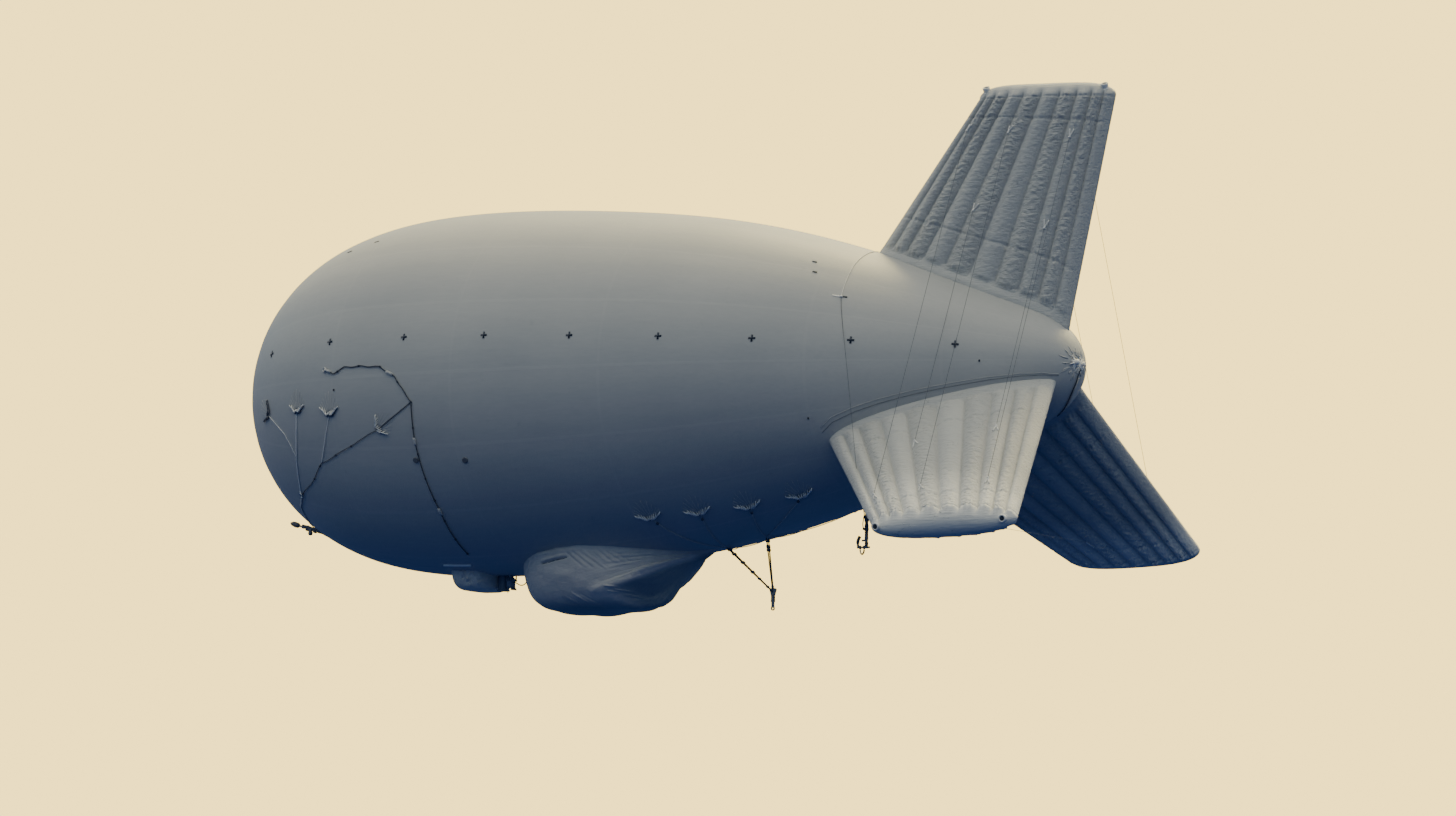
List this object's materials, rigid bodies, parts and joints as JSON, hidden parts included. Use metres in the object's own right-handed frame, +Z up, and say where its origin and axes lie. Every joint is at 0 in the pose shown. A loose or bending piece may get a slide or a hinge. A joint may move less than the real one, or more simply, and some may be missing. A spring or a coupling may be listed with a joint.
{
  "type": "tethered aerostat",
  "caption": "Tethered aerostat: helium envelope with ribbed inflated fins, belly windscreen and payload, suspension bridle, tether swivel and mooring probe.",
  "frame": {"origin": "on the hull's axis, at the centre of buoyancy, 7.1 m from the nose", "axes": "+X along the hull towards the tail, +Z up, port side towards -Y"},
  "size_m": [17.6, 7.703, 9.0298],
  "materials": {
    "envelope_fabric": "coated laminate, satin",
    "fin_fabric": "coated laminate, satin",
    "soft_fabric": "soft coated cloth, wrinkled",
    "webbing": "woven webbing and rope",
    "dark_metal": "dark anodised, satin",
    "case": "dark powder coat",
    "rubber": "matt",
    "cable": "smooth jacket"
  },
  "bodies": {
    "root": {"envelope": "envelope_fabric", "fin_upper": "fin_fabric", "fin_port": "fin_fabric", "fin_starboard": "fin_fabric", "fin_upper_valve_fore": "rubber", "fin_upper_valve_aft": "rubber", "fin_port_valve_fore": "rubber", "fin_port_valve_aft": "rubber", "fin_starboard_valve_fore": "rubber", "fin_starboard_valve_aft": "rubber", "windscreen": "soft_fabric", "equipment_bag": "soft_fabric", "belly_frame": "dark_metal", "avionics_box": "case", "junction_box": "case", "whip_antenna": "dark_metal", "cable_loop": "cable", "blower_housing": "dark_metal", "suspension_port": "webbing", "suspension_starboard": "webbing", "confluence_plate": "dark_metal", "hook_patch": "webbing", "hook_hanger": "webbing", "nose_patch": "webbing", "nose_boom": "dark_metal", "nose_boom_head": "rubber", "nose_bridle_port": "webbing", "nose_bridle_starboard": "webbing", "fill_port_fore": "rubber", "fill_port_aft": "rubber", "relief_valve": "dark_metal", "tail_cap": "soft_fabric", "tail_sleeve": "webbing"},
    "rotor": {"blower_rotor": "rubber"},
    "fork": {"tether_fork": "dark_metal"},
    "swivel": {"tether_swivel": "dark_metal"},
    "hook": {"hook_frame": "dark_metal"},
    "bow": {"hook_bow": "dark_metal"},
    "pulley": {"nose_pulley": "rubber"}
  },
  "joints": [
    {"name": "rotor_spin", "type": "hinge", "parent": "root", "child": "rotor", "pos_m": [-1.875, 0, -3.53], "axis": [0, 0, 1], "continuous": true},
    {"name": "fork_swing", "type": "hinge", "parent": "root", "child": "fork", "pos_m": [3.9, 0, -3.84], "axis": [0, 1, 0], "range_deg": [-60, 60]},
    {"name": "swivel_spin", "type": "hinge", "parent": "fork", "child": "swivel", "pos_m": [3.9, 0, -3.9453], "axis": [0, 0, 1], "continuous": true},
    {"name": "hook_swing", "type": "hinge", "parent": "root", "child": "hook", "pos_m": [5.77, 0, -2.8], "axis": [0, 1, 0], "range_deg": [-45, 45]},
    {"name": "bow_swing", "type": "hinge", "parent": "hook", "child": "bow", "pos_m": [5.6875, 0, -3.02], "axis": [1, 0, 0], "range_deg": [-80, 80]},
    {"name": "pulley_spin", "type": "hinge", "parent": "root", "child": "pulley", "pos_m": [-6.38424, 0, -2.46993], "axis": [0, 1, 0], "continuous": true}
  ]
}
